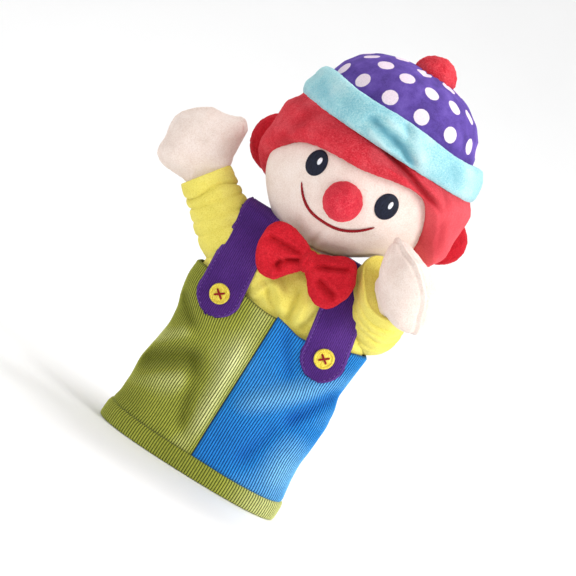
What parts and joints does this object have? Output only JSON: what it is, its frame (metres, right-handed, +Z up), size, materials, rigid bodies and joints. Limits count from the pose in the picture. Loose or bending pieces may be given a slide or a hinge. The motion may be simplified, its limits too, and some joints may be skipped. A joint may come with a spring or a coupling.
{
  "type": "hand puppet",
  "caption": "Clown glove puppet with a stuffed head, polka-dot hat, mitten arms and corduroy trousers open at the hem for a hand.",
  "frame": {"origin": "centre of the hand opening, on the plane of the hem's lower edge", "axes": "+Z up through the head, -Y the way the puppet faces, +X towards the puppet's left arm"},
  "size_m": [0.2348, 0.1651, 0.3435],
  "materials": {
    "green_corduroy": "fine-wale corduroy",
    "blue_corduroy": "fine-wale corduroy",
    "purple_corduroy": "fine-wale corduroy",
    "yellow_velour": "soft velour",
    "skin_velour": "short-pile velour",
    "hair_plush": "short plush",
    "dark_red_plush": "short plush",
    "red_plush": "short plush",
    "red_felt": "brushed felt",
    "aqua_plush": "short plush",
    "dotted_velour": "printed velour with pale dots",
    "button_thread": "satin-stitch embroidery",
    "red_thread": "embroidery thread",
    "black_thread": "satin-stitch embroidery",
    "white_thread": "satin-stitch embroidery",
    "stuffing": "polyester fibre"
  },
  "bodies": {
    "glove": {"hem_band": "green_corduroy", "trouser_front_green": "green_corduroy", "trouser_front_blue": "blue_corduroy", "trouser_back_green": "green_corduroy", "trouser_back_blue": "blue_corduroy", "shirt_front": "yellow_velour", "shirt_back": "yellow_velour", "strap_right": "purple_corduroy", "strap_left": "purple_corduroy", "button_right": "button_thread", "button_left": "button_thread", "button_stitch_right": "red_thread", "button_stitch_left": "red_thread", "bow_loops": "red_plush", "bow_knot": "red_plush"},
    "neck_edge": {"collar": "yellow_velour"},
    "neck_sleeve": {"neck_tunnel": "skin_velour"},
    "head": {"face_panel": "skin_velour", "head_back_panel": "skin_velour", "head_stuffing": "stuffing", "finger_pocket": "skin_velour", "nose": "red_felt", "eye_right": "black_thread", "eye_left": "black_thread", "eye_glints": "white_thread", "mouth_stitch": "red_thread", "hair_fringe": "hair_plush", "hair_back": "hair_plush", "side_tuft_right": "dark_red_plush", "side_tuft_left": "dark_red_plush", "hat_cuff": "aqua_plush", "hat_crown": "dotted_velour", "hat_stuffing": "stuffing", "pompom": "red_plush"},
    "right_shoulder": {"shoulder_gusset_right": "yellow_velour"},
    "right_arm": {"sleeve_right": "yellow_velour"},
    "right_hand": {"hand_right": "skin_velour"},
    "left_shoulder": {"shoulder_gusset_left": "yellow_velour"},
    "left_arm": {"sleeve_left": "yellow_velour"},
    "left_hand": {"hand_left": "skin_velour"}
  },
  "joints": [
    {"name": "head_lean", "type": "hinge", "parent": "glove", "child": "neck_edge", "pos_m": [0, 0, 0.176], "axis": [0, 1, 0], "range_deg": [-5, 10]},
    {"name": "head_nod", "type": "hinge", "parent": "neck_edge", "child": "neck_sleeve", "pos_m": [0, 0, 0.176], "axis": [1, 0, 0], "range_deg": [-12, 8]},
    {"name": "head_turn", "type": "hinge", "parent": "neck_sleeve", "child": "head", "pos_m": [0, 0, 0.176], "axis": [0, 0, 1], "range_deg": [-10, 12]},
    {"name": "right_arm_swing", "type": "hinge", "parent": "glove", "child": "right_shoulder", "pos_m": [-0.061, 0, 0.158], "axis": [0, 0, 1], "range_deg": [-12, 30]},
    {"name": "right_arm_lift", "type": "hinge", "parent": "right_shoulder", "child": "right_arm", "pos_m": [-0.061, 0, 0.158], "axis": [0, 1, 0], "range_deg": [-60, 0]},
    {"name": "right_wrist_bend", "type": "hinge", "parent": "right_arm", "child": "right_hand", "pos_m": [-0.0946, 0, 0.1832], "axis": [0.6, 0, 0.8], "range_deg": [-20, 20]},
    {"name": "left_arm_swing", "type": "hinge", "parent": "glove", "child": "left_shoulder", "pos_m": [0.059, -0.006, 0.158], "axis": [0, 0, 1], "range_deg": [-4, 70]},
    {"name": "left_arm_lift", "type": "hinge", "parent": "left_shoulder", "child": "left_arm", "pos_m": [0.059, -0.006, 0.158], "axis": [1, 0, 0], "range_deg": [-4, 26]},
    {"name": "left_wrist_bend", "type": "hinge", "parent": "left_arm", "child": "left_hand", "pos_m": [0.059, -0.03998, 0.18269], "axis": [-0.6795, 0.0668, 0.7306], "range_deg": [-14, 14]}
  ]
}
